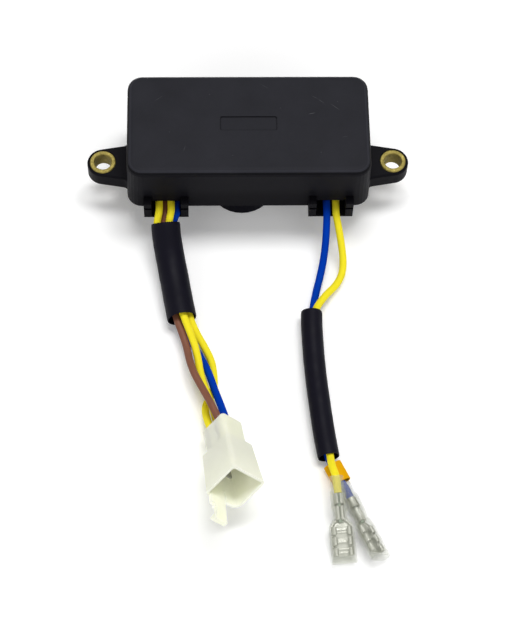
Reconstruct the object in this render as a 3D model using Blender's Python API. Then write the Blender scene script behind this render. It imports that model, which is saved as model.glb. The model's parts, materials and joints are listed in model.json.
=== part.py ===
"""Automatic voltage regulator of a small portable generator.

A potted black case with two bolt ears stands on the filter capacitor that sticks out of its open
underside. Two short leads leave the front through moulded guides: four wires to a white connector,
and two wires to push-on terminals in clear sleeves.

Metres, +Z up, front to -Y. The origin is under the middle of the case, on the surface it stands on.
"""

import math

import bmesh
import bpy
from mathutils import Matrix, Vector

MM = 0.001

# Clearances between pieces
GAP = 0.3 * MM
PRESS_GAP = 0.15 * MM
CUT = 1.0 * MM

# Case
CASE_WIDTH = 90.0 * MM
CASE_DEPTH = 43.4 * MM
CASE_HEIGHT = 22.8 * MM
CASE_DRAFT = 0.45 * MM
CASE_CORNER = 5.5 * MM
CASE_TOP_EDGE = 2.4 * MM
WALL = 2.0 * MM
CORNER_STEPS = 6
EDGE_STEPS = 4

# Bare recess in the top
RECESS_WIDTH = 21.0 * MM
RECESS_DEPTH = 6.0 * MM
RECESS_CORNER = 0.8 * MM
RECESS_SINK = 0.35 * MM

# Ears and their bushings
EAR_REACH = 9.0 * MM
EAR_BACK_FROM_CENTRE = 6.5 * MM
EAR_THICKNESS = 6.4 * MM
EAR_END_RADIUS = 5.8 * MM
EAR_ROOT = 15.0 * MM
EAR_FILLET = 2.2 * MM
EAR_EDGE = 0.7 * MM
BUSHING_RADIUS = 4.8 * MM
BUSHING_BORE = 3.15 * MM
BUSHING_PROUD = 0.2 * MM
BUSHING_CHAMFER = 0.3 * MM
ROUND_SIDES = 32

# Wire guides under the front wall
GUIDE_FROM_SIDE = 14.5 * MM
GUIDE_WIDTH = 16.5 * MM
GUIDE_POST = 2.8 * MM
GUIDE_REACH = 3.25 * MM
GUIDE_RISE = 6.6 * MM
GUIDE_DROP = 2.6 * MM
GUIDE_FLOOR = 0.8 * MM
GUIDE_BACK = 1.5 * MM
GUIDE_GROOVE = 0.6 * MM
NOTCH_RISE = 3.7 * MM

# Filter capacitor
CAP_RADIUS = 12.5 * MM
CAP_STANDOUT = 12.0 * MM
CAP_LEFT = 2.2 * MM
CAP_FROM_WALL = 1.2 * MM
CAP_EDGE = 0.8 * MM
CAP_LIP = 1.6 * MM
CAP_END_SINK = 0.5 * MM

# Board and resin
BOARD_THICKNESS = 1.6 * MM
BOARD_SIDE_GAP = 1.0 * MM
RESIN_BACK = 5.2 * MM
SOCKET_DEPTH = 4.0 * MM
SOCKET_GAP = 1.0 * MM

# What hangs under the board: length or width, then depth and height
INSIDE_MARGIN = 1.5 * MM
PART_SPACING = 2.0 * MM
PART_EDGE = 0.4 * MM
DIODE_LENGTH = 9.5 * MM
DIODE_RADIUS = 2.7 * MM
DIODE_PITCH = 7.0 * MM
FILM_SIZE = (11.0 * MM, 5.5 * MM, 11.0 * MM)
RESISTOR_SIZE = (20.0 * MM, 6.5 * MM, 6.5 * MM)
CONTROL_CAN_RADIUS = 4.0 * MM
CONTROL_CAN_HEIGHT = 11.5 * MM
THYRISTOR_SIZE = (10.2 * MM, 4.6 * MM, 12.8 * MM)
TRANSISTOR_SIZE = (4.8 * MM, 3.8 * MM, 5.0 * MM)
ZENER_LENGTH = 5.2 * MM
ZENER_RADIUS = 1.35 * MM
ZENER_FORWARD = 4.0 * MM

# Wires and the tubes over them
WIRE_RADIUS = 1.35 * MM
SLEEVE_LEFT_RADIUS = 5.4 * MM
SLEEVE_RIGHT_RADIUS = 3.95 * MM
SLEEVE_WALL = 0.5 * MM
SLEEVE_SIDES = 16
POINT_SPACING = 4.5 * MM

# Connector, in its own frame: x across the upper right wall, y up its other side, z to the mouth
CONN_AT = (19.9 * MM, -87.15 * MM, 6.8 * MM)
CONN_YAW = 8.5
CONN_PITCH = 26.0
CONN_ROLL = 43.8
CONN_BLOCK = (9.6 * MM, 11.5 * MM)
CONN_BLOCK_LENGTH = 12.1 * MM
CONN_SHELL_BACK = (12.1 * MM, 14.4 * MM)
CONN_MOUTH = (14.6 * MM, 15.3 * MM)
CONN_SHELL_LENGTH = 19.9 * MM
CONN_WALL = 0.95 * MM
CONN_FLOOR = 1.8 * MM
CONN_CORNER = 1.3 * MM
CONN_KEY_CORNER = 3.0 * MM
CONN_CHAMFER = 0.5 * MM
WAY_PITCH = (4.2 * MM, 4.8 * MM)
WAY_CENTRE = (-0.4 * MM, -0.9 * MM)
WIRE_INTO_WAY = 3.9 * MM
LATCH_WIDTH = 6.5 * MM
LATCH_OFFSET = -2.2 * MM
LATCH_PROUD = 0.12 * MM
LATCH_SLOT = 0.9 * MM
LATCH_SLOT_DEPTH = 6.0 * MM
LATCH_THICKNESS = 1.3 * MM
LATCH_REACH = 10.2 * MM
LATCH_SHOULDER = 4.0 * MM
LATCH_SIDE_STEPS = (1.3 * MM, 2.0 * MM)
LATCH_SIDE_STEP_LENGTH = 0.7 * MM
LATCH_HOOK = 2.6 * MM
LATCH_HOOK_RISE = 1.6 * MM
LATCH_SPLAY = 1.2 * MM
TAB_WIDTH = 2.8 * MM
TAB_THICKNESS = 0.8 * MM
TAB_LENGTH = 9.0 * MM

# Push-on terminals, folded from one strip, and their clear sleeves
STRIP = 0.4 * MM
BARREL_CURL = 1.5 * MM
BARREL_LENGTH = 9.2 * MM
NECK_LENGTH = 2.2 * MM
RECEPTACLE_LENGTH = 10.6 * MM
RECEPTACLE_FLAT = 2.55 * MM
RECEPTACLE_CURL = 0.9 * MM
ROLL_GAP = 0.5 * MM
TERMINAL_IN_SLEEVE = 6.2 * MM
CLEAR_LENGTH = 30.6 * MM
CLEAR_WALL = 0.5 * MM
CLEAR_MOUTH = (8.9 * MM, 4.2 * MM)
CLEAR_BARREL = 5.7 * MM
CLEAR_NECK = 4.8 * MM
CLEAR_WAIST = 4.7 * MM
TERMINALS = (
    # where the clear sleeve starts, yaw, pitch, roll
    ((-1.3 * MM, -106.8 * MM, 8.7 * MM), 4.4, -11.4, 0.0),
    ((1.6 * MM, -107.6 * MM, 2.6 * MM), 22.5, 6.0, 47.0),
)

# Flat marker tube on the blue wire
MARKER_AT = (-0.5 * MM, -103.2 * MM, 2.15 * MM)
MARKER_YAW = 26.0
MARKER_SIZE = (6.6 * MM, 4.2 * MM)
MARKER_LENGTH = 7.4 * MM
MARKER_WALL = 0.4 * MM

# Places that follow from the sizes
RIM_Z = CAP_STANDOUT
TOP_Z = RIM_Z + CASE_HEIGHT
MID_Y = GUIDE_REACH / 2
FRONT_Y = MID_Y - CASE_DEPTH / 2
HOLE_X = CASE_WIDTH / 2 + EAR_REACH
EAR_Y = MID_Y - EAR_BACK_FROM_CENTRE
CAVITY_TOP_Z = TOP_Z - WALL
BOARD_Z = CAVITY_TOP_Z - GAP - BOARD_THICKNESS
PARTS_TOP_Z = BOARD_Z - GAP
RESIN_Z = RIM_Z + RESIN_BACK
CAP_AT = (-CAP_LEFT, FRONT_Y + WALL + CAP_FROM_WALL + CAP_RADIUS)
GUIDE_X = CASE_WIDTH / 2 - GUIDE_FROM_SIDE
LEFT_GUIDE = Vector((-GUIDE_X, FRONT_Y, 0.0))
RIGHT_GUIDE = Vector((GUIDE_X, FRONT_Y, 0.0))

# Routes, millimetres, from the point under the middle of each guide at the front wall. Each wire
# runs from its socket in the resin, with heights above the case's rim while inside, then down to
# its tube, beside the tube's middle line, and after it to its far end.
LEFT_TUBE_ROUTE = (
    (-0.3, -7.3, 11.8), (0.1, -11.3, 10.1), (1.1, -17.3, 7.6), (2.5, -24.9, 6.0), (4.1, -34.4, 5.6),
    (5.7, -43.5, 5.6),
)
RIGHT_TUBE_ROUTE = (
    (-7.8, -40.5, 4.0), (-7.9, -46.9, 4.0), (-7.5, -57.9, 4.0), (-6.9, -67.5, 4.0),
    (-6.0, -76.9, 4.0), (-4.7, -88.9, 4.0), (-3.4, -97.7, 4.0),
)
LEFT_WIRES = {
    "wire_left_yellow_a": dict(
        inside=((-2.6, 8.5, 8.5), (-2.6, 8.5, 7.2), (-2.6, 7.8, 4.6), (-2.6, 5.8, 2.7), (-2.6, 3.1, 2.1),
                (-2.6, 0.6, 2.1), (-2.6, -3.3, 2.1)),
        beside=((-3.1, 0.9), (-2.8, 1.6), (-1.8, 1.9), (-1.0, 2.1), (0.0, 2.2), (0.7, 2.2)),
        after=((8.3, -48.5, 6.6), (10.2, -53.9, 5.6), (11.4, -59.0, 5.0), (12.2, -64.1, 5.1),
               (13.4, -68.9, 4.6), (15.0, -73.6, 4.7), (16.7, -78.3, 3.9), (19.01, -88.32, 3.34),
               (19.60, -92.32, 5.31)),
        colour="yellow"),
    "wire_left_brown": dict(
        inside=((-0.4, 10.7, 8.5), (-0.4, 10.7, 5.4), (-0.4, 10.0, 2.7), (-0.4, 8.0, 0.6),
                (-0.4, 5.3, -0.1), (-0.4, 0.6, 0.0), (-0.4, -3.3, 0.0)),
        beside=((-0.6, -0.9), (-1.1, -1.1), (-1.7, -1.1), (-2.0, -0.8), (-2.1, -0.4), (-1.8, -0.1)),
        after=((5.7, -49.0, 5.2), (7.3, -54.3, 4.8), (8.4, -60.0, 5.8), (9.9, -65.3, 6.8),
               (12.2, -70.4, 7.3), (14.2, -74.6, 7.9), (16.2, -79.3, 9.3), (18.88, -85.51, 9.07),
               (19.48, -89.51, 11.04)),
        colour="brown"),
    "wire_left_yellow_b": dict(
        inside=((1.8, 8.5, 8.5), (1.8, 8.5, 7.2), (1.8, 7.8, 4.6), (1.8, 5.8, 2.7), (1.8, 3.1, 2.1),
                (1.8, 0.6, 2.1), (1.8, -3.3, 2.1)),
        beside=((1.3, 1.7), (1.1, 1.1), (1.2, 1.6), (2.0, 1.2), (2.6, 0.4), (3.0, -0.1)),
        after=((11.0, -48.5, 3.9), (13.7, -53.3, 2.7), (16.2, -58.5, 1.4), (17.1, -63.9, 1.6),
               (17.2, -68.4, 1.4), (16.0, -72.7, 1.6), (14.2, -76.6, 1.5), (14.2, -80.0, 2.5),
               (15.82, -87.50, 5.95), (16.42, -91.50, 7.92)),
        colour="yellow"),
    "wire_left_blue": dict(
        inside=((3.9, 10.7, 8.5), (3.9, 10.7, 5.4), (3.9, 10.0, 2.7), (3.9, 8.0, 0.6),
                (3.9, 5.3, -0.1), (3.9, 0.6, 0.0), (3.7, -3.3, 0.0)),
        beside=((2.9, -1.0), (2.8, -1.3), (1.6, -1.6), (1.2, -1.9), (1.0, -2.3), (0.8, -2.6)),
        after=((8.2, -48.5, 1.7), (10.5, -53.6, 1.7), (12.9, -58.4, 1.9), (14.7, -63.0, 3.6),
               (16.2, -67.5, 4.5), (17.6, -72.2, 4.9), (19.1, -76.6, 5.4), (22.07, -86.32, 6.45),
               (22.66, -90.32, 8.43)),
        colour="blue"),
}
RIGHT_WIRES = {
    "wire_right_blue": dict(
        inside=((-1.4, 9.7, 8.5), (-1.4, 9.7, 5.5), (-1.4, 9.0, 3.0), (-1.4, 7.0, 0.9),
                (-1.4, 4.3, 0.2), (-1.4, 0.6, 0.2), (-1.4, -3.5, 0.0)),
        down=((-1.6, -8.3, 9.9), (-2.0, -13.5, 7.0), (-2.8, -18.9, 4.2), (-4.0, -24.3, 2.5),
              (-5.5, -30.1, 1.8), (-6.7, -35.7, 1.9)),
        beside=((0.4, -1.7), (0.4, -1.7), (0.1, -1.6), (-0.2, -1.5), (-0.3, -1.5), (-0.2, -1.5),
                (0.1, -1.5)),
        after=((-2.1, -100.2, 2.15), (-0.9, -103.4, 2.15), (0.5, -106.0, 2.2), (1.9, -108.3, 2.68),
               (3.85, -113.02, 3.22)),
        colour="blue"),
    "wire_right_yellow": dict(
        inside=((2.0, 9.7, 8.5), (2.0, 9.7, 5.5), (2.0, 9.0, 3.0), (2.0, 7.0, 0.9), (2.0, 4.3, 0.2),
                (2.0, 0.6, 0.2), (2.0, -3.5, 0.0)),
        down=((2.9, -8.7, 10.3), (3.9, -13.9, 7.1), (4.5, -19.3, 4.2), (3.9, -24.1, 2.9),
              (1.7, -28.5, 2.8), (-1.9, -32.8, 3.6), (-4.7, -36.8, 4.4)),
        beside=((1.4, 1.2), (1.4, 1.2), (1.2, 1.3), (0.9, 1.5), (0.7, 1.5), (0.5, 1.5), (0.4, 1.5)),
        after=((-2.6, -102.3, 7.6), (-1.5, -106.8, 8.7), (-0.86, -112.57, 7.53)),
        colour="yellow"),
}

# Colour, roughness and metallic value of each material
FINISHES = {
    "case_black": ((0.030, 0.029, 0.034), 0.45, 0.0),
    "resin_black": ((0.012, 0.012, 0.013), 0.30, 0.0),
    "sleeve_black": ((0.016, 0.015, 0.021), 0.50, 0.0),
    "capacitor_black": ((0.015, 0.014, 0.022), 0.30, 0.0),
    "brass": ((0.50, 0.40, 0.16), 0.35, 1.0),
    "tin": ((0.62, 0.62, 0.58), 0.30, 1.0),
    "nylon": ((0.79, 0.79, 0.66), 0.45, 0.0),
    "clear": ((0.80, 0.81, 0.76), 0.15, 0.0),
    "yellow": ((0.82, 0.72, 0.03), 0.40, 0.0),
    "brown": ((0.20, 0.085, 0.055), 0.42, 0.0),
    "blue": ((0.003, 0.045, 0.39), 0.40, 0.0),
    "orange": ((0.85, 0.45, 0.01), 0.40, 0.0),
    "board_green": ((0.03, 0.16, 0.06), 0.50, 0.0),
    "ceramic": ((0.72, 0.70, 0.64), 0.70, 0.0),
    "film_red": ((0.42, 0.05, 0.03), 0.40, 0.0),
    "moulded_black": ((0.02, 0.02, 0.02), 0.50, 0.0),
}


def clear_scene():
    for obj in list(bpy.data.objects):
        bpy.data.objects.remove(obj, do_unlink=True)


def finish(name):
    material = bpy.data.materials.get(name)
    if material is None:
        colour, roughness, metallic = FINISHES[name]
        material = bpy.data.materials.new(name)
        material.use_nodes = True
        shader = material.node_tree.nodes["Principled BSDF"]
        shader.inputs["Base Color"].default_value = (*colour, 1.0)
        shader.inputs["Roughness"].default_value = roughness
        shader.inputs["Metallic"].default_value = metallic
    return material


def place(yaw, pitch=0.0, roll=0.0, at=(0.0, 0.0, 0.0)):
    """Frame whose z runs forward (-Y) turned by yaw, lifted by pitch and rolled about itself."""
    a, p, r = (math.radians(angle) for angle in (yaw, pitch, roll))
    right = Vector((math.cos(a), math.sin(a), 0.0))
    along = Vector((math.sin(a) * math.cos(p), -math.cos(a) * math.cos(p), math.sin(p)))
    up = along.cross(right)
    x_axis = math.cos(r) * right - math.sin(r) * up
    y_axis = math.sin(r) * right + math.cos(r) * up
    turn = Matrix((x_axis, y_axis, along)).transposed().to_4x4()
    return Matrix.Translation(at) @ turn


def make_object(name, bm, material=None, matrix=None, sharp=35.0):
    bmesh.ops.recalc_face_normals(bm, faces=bm.faces)
    if matrix is not None:
        bm.transform(matrix)
    mesh = bpy.data.meshes.new(name)
    bm.to_mesh(mesh)
    bm.free()
    mesh.shade_smooth()
    mesh.set_sharp_from_angle(angle=math.radians(sharp))
    obj = bpy.data.objects.new(name, mesh)
    bpy.context.collection.objects.link(obj)
    if material:
        mesh.materials.append(finish(material))
    return obj


def boolean(target, cutter, operation="DIFFERENCE"):
    cutter.hide_render = True
    cutter.display_type = "WIRE"
    modifier = target.modifiers.new(cutter.name, "BOOLEAN")
    modifier.operation = operation
    modifier.object = cutter
    modifier.solver = "EXACT"


def rounded_rectangle(width, depth, radii, steps=CORNER_STEPS, centre=(0.0, 0.0)):
    """Points of a rectangle with round corners, one radius or four, anticlockwise from the right."""
    points = []
    if not isinstance(radii, tuple):
        radii = (radii,) * 4
    for quarter, (sx, sy) in enumerate(((1, 1), (-1, 1), (-1, -1), (1, -1))):
        radius = radii[quarter]
        cx = centre[0] + sx * (width / 2 - radius)
        cy = centre[1] + sy * (depth / 2 - radius)
        for step in range(steps + 1):
            angle = math.pi / 2 * (quarter + step / steps)
            points.append((cx + radius * math.cos(angle), cy + radius * math.sin(angle)))
    return points


def circle(radius, sides=ROUND_SIDES, centre=(0.0, 0.0)):
    return [(centre[0] + radius * math.cos(2 * math.pi * i / sides),
             centre[1] + radius * math.sin(2 * math.pi * i / sides)) for i in range(sides)]


def at_height(outline, z):
    return [(x, y, z) for x, y in outline]


def loft(rings, closed=False):
    """Skin through rings of equal point counts, capped at both ends unless it closes on itself."""
    bm = bmesh.new()
    rows = [[bm.verts.new(point) for point in ring] for ring in rings]
    pairs = list(zip(rows, rows[1:]))
    if closed:
        pairs.append((rows[-1], rows[0]))
    for lower, upper in pairs:
        for i in range(len(lower)):
            j = (i + 1) % len(lower)
            bm.faces.new((lower[i], lower[j], upper[j], upper[i]))
    if not closed:
        bm.faces.new(reversed(rows[0]))
        bm.faces.new(rows[-1])
    return bm


def block(low, high):
    """Box between two corners."""
    corners = ((low[0], low[1]), (high[0], low[1]), (high[0], high[1]), (low[0], high[1]))
    return loft([at_height(corners, low[2]), at_height(corners, high[2])])


def prism(profile, low, high):
    """Outline in the plane across X, drawn out along it."""
    return loft([[(x, y, z) for y, z in profile] for x in (low, high)])


def rod(radius, low, high, centre, sides=ROUND_SIDES):
    """Upright cylinder."""
    return loft([at_height(circle(radius, sides, centre), z) for z in (low, high)])


def case_outline(z, inset=0.0):
    """Outline of the case's outside at a height, which leans in by the draft, less an inset."""
    lean = CASE_DRAFT * (z - RIM_Z) / CASE_HEIGHT
    shrink = 2 * (lean + inset)
    radius = max(CASE_CORNER - inset, 0.5 * MM)
    return rounded_rectangle(CASE_WIDTH - shrink, CASE_DEPTH - shrink, radius, centre=(0.0, MID_Y))


def case_body():
    rings = [at_height(case_outline(RIM_Z), RIM_Z)]
    for step in range(EDGE_STEPS + 1):
        angle = math.pi / 2 * step / EDGE_STEPS
        z = TOP_Z - CASE_TOP_EDGE * (1 - math.sin(angle))
        rings.append(at_height(case_outline(z, CASE_TOP_EDGE * (1 - math.cos(angle))), z))
    return loft(rings)


def case_cavity():
    rings = [at_height(case_outline(z, WALL), z) for z in (RIM_Z - CUT, CAVITY_TOP_Z)]
    return loft(rings)


def rounded_corner(before, corner, after, radius, steps=4):
    """Arc that rounds one corner of an outline."""
    corner = Vector(corner)
    one = (Vector(before) - corner).normalized()
    two = (Vector(after) - corner).normalized()
    half = one.angle(two) / 2
    centre = corner + (one + two).normalized() * (radius / math.sin(half))
    start = corner + one * (radius / math.tan(half)) - centre
    end = corner + two * (radius / math.tan(half)) - centre
    first = math.atan2(start.y, start.x)
    sweep = math.remainder(math.atan2(end.y, end.x) - first, 2 * math.pi)
    angles = [first + sweep * step / steps for step in range(steps + 1)]
    return [(centre.x + radius * math.cos(angle), centre.y + radius * math.sin(angle)) for angle in angles]


def ear_outline(grow=0.0):
    """Outline of the right ear about its hole: round end, tapering edges, fillets at the wall."""
    reach = HOLE_X
    radius = EAR_END_RADIUS + grow
    root_x = CASE_WIDTH / 2 - CASE_DRAFT
    root_y = EAR_ROOT / 2 + grow
    inside_x = CASE_WIDTH / 2 - WALL * 0.6
    distance = math.hypot(reach - root_x, root_y)
    toward_root = math.atan2(root_y, root_x - reach)
    tangent = toward_root - math.acos(radius / distance)
    touch = (reach + radius * math.cos(tangent), radius * math.sin(tangent))
    upper = [(inside_x, root_y + 2 * EAR_FILLET)]
    upper += rounded_corner((root_x, root_y + 2 * EAR_FILLET), (root_x, root_y), touch, EAR_FILLET)
    arc = [(reach + radius * math.cos(angle), radius * math.sin(angle))
           for angle in (tangent * (1 - step / 8) for step in range(9))]
    half = upper + arc
    lower = [(x, -y) for x, y in reversed(half[:-1])]
    return [(x, EAR_Y + y) for x, y in half + lower]


def ear(side):
    top = RIM_Z + EAR_THICKNESS
    rings = [at_height(ear_outline(), RIM_Z), at_height(ear_outline(), top - EAR_EDGE),
             at_height(ear_outline(-0.3 * EAR_EDGE), top - 0.3 * EAR_EDGE),
             at_height(ear_outline(-EAR_EDGE), top)]
    bm = loft([[(side * x, y, z) for x, y, z in ring] for ring in rings])
    return bm


def guide_pieces(side):
    """Two posts and a floor that carry the wires in front of the wall, as three blocks."""
    centre = side * GUIDE_X
    back = FRONT_Y + WALL * 0.6
    floor_back = FRONT_Y + WALL + GUIDE_BACK
    front = FRONT_Y - GUIDE_REACH
    low, high = RIM_Z - GUIDE_DROP, RIM_Z + GUIDE_RISE
    left, right = centre - GUIDE_WIDTH / 2, centre + GUIDE_WIDTH / 2
    yield block((left, front, low), (left + GUIDE_POST, back, high))
    yield block((right - GUIDE_POST, front, low), (right, back, high))
    yield block((left + GUIDE_POST / 2, front, low), (right - GUIDE_POST / 2, floor_back, low + GUIDE_FLOOR))


def guide_cuts(side):
    """Way through the wall between the posts, and a tie groove across the posts' fronts."""
    centre = side * GUIDE_X
    inner = GUIDE_WIDTH / 2 - GUIDE_POST
    floor_top = RIM_Z - GUIDE_DROP + GUIDE_FLOOR
    yield block((centre - inner, FRONT_Y - GUIDE_REACH / 2, floor_top),
                (centre + inner, FRONT_Y + WALL + CUT, RIM_Z + NOTCH_RISE))
    groove_z = RIM_Z + GUIDE_RISE / 2
    yield block((centre - GUIDE_WIDTH, FRONT_Y - GUIDE_REACH - CUT, groove_z - GUIDE_GROOVE),
                (centre + GUIDE_WIDTH, FRONT_Y - GUIDE_REACH + GUIDE_GROOVE, groove_z + GUIDE_GROOVE))


def build_case():
    case = make_object("case", case_body(), "case_black")
    for side in (-1, 1):
        boolean(case, make_object(f"ear_shape_{side}", ear(side)), "UNION")
        for number, piece in enumerate(guide_pieces(side)):
            boolean(case, make_object(f"guide_shape_{side}_{number}", piece), "UNION")
    boolean(case, make_object("cavity_cut", case_cavity()))
    for side in (-1, 1):
        hole = rod(BUSHING_RADIUS + PRESS_GAP, RIM_Z - CUT, TOP_Z, (side * HOLE_X, EAR_Y))
        boolean(case, make_object(f"hole_cut_{side}", hole))
        for number, piece in enumerate(guide_cuts(side)):
            boolean(case, make_object(f"guide_cut_{side}_{number}", piece))
    recess = rounded_rectangle(RECESS_WIDTH, RECESS_DEPTH, RECESS_CORNER, 3, (0.0, MID_Y))
    boolean(case, make_object("recess_cut", loft([at_height(recess, TOP_Z - RECESS_SINK),
                                                  at_height(recess, TOP_Z + CUT)])))


def build_bushings():
    low, high = RIM_Z, RIM_Z + EAR_THICKNESS + BUSHING_PROUD
    outer, bore, chamfer = BUSHING_RADIUS, BUSHING_BORE, BUSHING_CHAMFER
    section = ((outer - chamfer, low), (outer, low + chamfer), (outer, high - chamfer),
               (outer - chamfer, high), (bore + chamfer, high), (bore, high - chamfer),
               (bore, low + chamfer), (bore + chamfer, low))
    for name, side in (("bushing_left", -1), ("bushing_right", 1)):
        centre = (side * HOLE_X, EAR_Y)
        rings = [at_height(circle(radius, centre=centre), z) for radius, z in section]
        make_object(name, loft(rings, closed=True), "brass")


def build_capacitor():
    """Upright can whose sleeve curls over its lower end round a slightly sunk disc."""
    sink = CAP_END_SINK
    section = ((CAP_RADIUS - CAP_LIP - sink, sink), (CAP_RADIUS - CAP_LIP, 0.0), (CAP_RADIUS - CAP_EDGE, 0.0),
               (CAP_RADIUS - 0.3 * CAP_EDGE, 0.3 * CAP_EDGE), (CAP_RADIUS, CAP_EDGE),
               (CAP_RADIUS, PARTS_TOP_Z - CAP_EDGE), (CAP_RADIUS - CAP_EDGE, PARTS_TOP_Z))
    rings = [at_height(circle(radius, centre=CAP_AT), z) for radius, z in section]
    make_object("main_capacitor", loft(rings), "capacitor_black")


def hanging_box(x, y, width, depth, height, grow=0.0):
    """Box that hangs from the board; grown, it is the pocket that the resin leaves round it."""
    outline = rounded_rectangle(width + 2 * grow, depth + 2 * grow, PART_EDGE + grow, 2, (x, y))
    top = PARTS_TOP_Z + (CUT * 2 if grow else 0.0)
    return loft([at_height(outline, PARTS_TOP_Z - height - grow), at_height(outline, top)])


def hanging_can(x, y, radius, height, grow=0.0):
    top = PARTS_TOP_Z + (CUT * 2 if grow else 0.0)
    return rod(radius + grow, PARTS_TOP_Z - height - grow, top, (x, y), sides=20)


def lying_rod(x, y, radius, length, grow=0.0):
    """Axial part that lies along X under the board; grown, its pocket opens up to the board."""
    z = PARTS_TOP_Z - radius
    if not grow:
        profile = [(y + a, z + b) for a, b in circle(radius, 16)]
        return prism(profile, x - length / 2, x + length / 2)
    return hanging_box(x, y, length, 2 * radius, 2 * radius, grow)


def inner_parts():
    """Name, material, maker and sizes of what hangs under the board, ranged along the inner walls."""
    side = CASE_WIDTH / 2 - CASE_DRAFT - WALL - INSIDE_MARGIN
    back = MID_Y + CASE_DEPTH / 2 - CASE_DRAFT - WALL - INSIDE_MARGIN
    front = FRONT_Y + CASE_DRAFT + WALL + INSIDE_MARGIN
    can_x = side - CONTROL_CAN_RADIUS
    thyristor_x = can_x - CONTROL_CAN_RADIUS - PART_SPACING - THYRISTOR_SIZE[0] / 2
    transistor_x = thyristor_x - (THYRISTOR_SIZE[0] + TRANSISTOR_SIZE[0]) / 2 - PART_SPACING
    parts = {
        "thyristor": (
            "moulded_black", hanging_box, (thyristor_x, back - THYRISTOR_SIZE[1] / 2, *THYRISTOR_SIZE)),
        "control_capacitor": (
            "capacitor_black", hanging_can,
            (can_x, back - CONTROL_CAN_RADIUS, CONTROL_CAN_RADIUS, CONTROL_CAN_HEIGHT)),
        "control_transistor": (
            "moulded_black", hanging_box, (transistor_x, back - TRANSISTOR_SIZE[1] / 2, *TRANSISTOR_SIZE)),
        "zener_diode": (
            "moulded_black", lying_rod,
            (side - ZENER_LENGTH / 2, MID_Y + ZENER_FORWARD, ZENER_RADIUS, ZENER_LENGTH)),
    }
    for number in range(4):
        y = MID_Y + DIODE_PITCH * (number - 1.5)
        parts[f"rectifier_diode_{number + 1}"] = (
            "moulded_black", lying_rod, (DIODE_LENGTH / 2 - side, y, DIODE_RADIUS, DIODE_LENGTH))
    for number in range(2):
        y = front + RESISTOR_SIZE[1] / 2 + number * (RESISTOR_SIZE[1] + PART_SPACING)
        parts[f"power_resistor_{number + 1}"] = (
            "ceramic", hanging_box, (side - RESISTOR_SIZE[0] / 2, y, *RESISTOR_SIZE))
    film_x = DIODE_LENGTH - side + PART_SPACING + FILM_SIZE[0] / 2
    for number in range(2):
        y = back - FILM_SIZE[1] / 2 - number * (FILM_SIZE[1] + PART_SPACING)
        parts[f"film_capacitor_{number + 1}"] = ("film_red", hanging_box, (film_x, y, *FILM_SIZE))
    return parts


def build_inside():
    board_inset = WALL + BOARD_SIDE_GAP
    board = [at_height(case_outline(z, board_inset), z) for z in (BOARD_Z, BOARD_Z + BOARD_THICKNESS)]
    make_object("circuit_board", loft(board), "board_green")
    resin_rings = [at_height(case_outline(z, WALL + GAP), z) for z in (RESIN_Z, PARTS_TOP_Z)]
    resin = make_object("potting_resin", loft(resin_rings), "resin_black")
    can = rod(CAP_RADIUS + GAP, RESIN_Z - CUT, PARTS_TOP_Z + CUT, CAP_AT)
    boolean(resin, make_object("can_cut", can))
    for name, (material, maker, sizes) in inner_parts().items():
        make_object(name, maker(*sizes), material)
        boolean(resin, make_object(f"{name}_pocket", maker(*sizes, grow=GAP)))
    for guide, wires in ((LEFT_GUIDE, LEFT_WIRES), (RIGHT_GUIDE, RIGHT_WIRES)):
        for name, wire in wires.items():
            centre = guide.xy + Vector(wire["inside"][0]).xy * MM
            socket = rod(WIRE_RADIUS + SOCKET_GAP, RESIN_Z - CUT, RESIN_Z + SOCKET_DEPTH, centre, sides=12)
            boolean(resin, make_object(f"{name}_socket", socket))


def smooth_curve(points, spacing):
    """Points at about equal steps along a smooth curve through the given ones."""
    knots = [Vector(point) for point in points]
    ends = [2 * knots[0] - knots[1], *knots, 2 * knots[-1] - knots[-2]]
    fine = []
    for p0, p1, p2, p3 in zip(ends, ends[1:], ends[2:], ends[3:]):
        t1 = (p1 - p0).length ** 0.5
        t2 = t1 + (p2 - p1).length ** 0.5
        t3 = t2 + (p3 - p2).length ** 0.5
        for step in range(16):
            t = t1 + (t2 - t1) * step / 16
            a1 = p0.lerp(p1, t / t1)
            a2 = p1.lerp(p2, (t - t1) / (t2 - t1))
            a3 = p2.lerp(p3, (t - t2) / (t3 - t2))
            fine.append(a1.lerp(a2, t / t2).lerp(a2.lerp(a3, (t - t1) / (t3 - t1)), (t - t1) / (t2 - t1)))
    fine.append(knots[-1])
    lengths = [0.0]
    for one, two in zip(fine, fine[1:]):
        lengths.append(lengths[-1] + (two - one).length)
    count = max(2, round(lengths[-1] / spacing))
    result, index = [], 0
    for number in range(count + 1):
        wanted = lengths[-1] * number / count
        while index < len(fine) - 2 and lengths[index + 1] < wanted:
            index += 1
        share = (wanted - lengths[index]) / (lengths[index + 1] - lengths[index])
        result.append(fine[index].lerp(fine[index + 1], min(share, 1.0)))
    return result


def wire_route(wire, tube_route, guide):
    """A wire's own points and its places beside the tube's middle line, in metres."""
    inside = [(x, y, z + RIM_Z / MM) for x, y, z in wire["inside"]]
    beside = []
    for index, (point, (across, up)) in enumerate(zip(tube_route, wire["beside"])):
        one = Vector(tube_route[max(index - 1, 0)])
        two = Vector(tube_route[min(index + 1, len(tube_route) - 1)])
        along = (two - one).normalized()
        right = Vector((-along.y, along.x, 0.0)).normalized()
        beside.append(Vector(point) + right * across + along.cross(right) * up)
    points = (*inside, *wire.get("down", ()), *beside, *wire["after"])
    return [guide + Vector(point) * MM for point in points]


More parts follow.
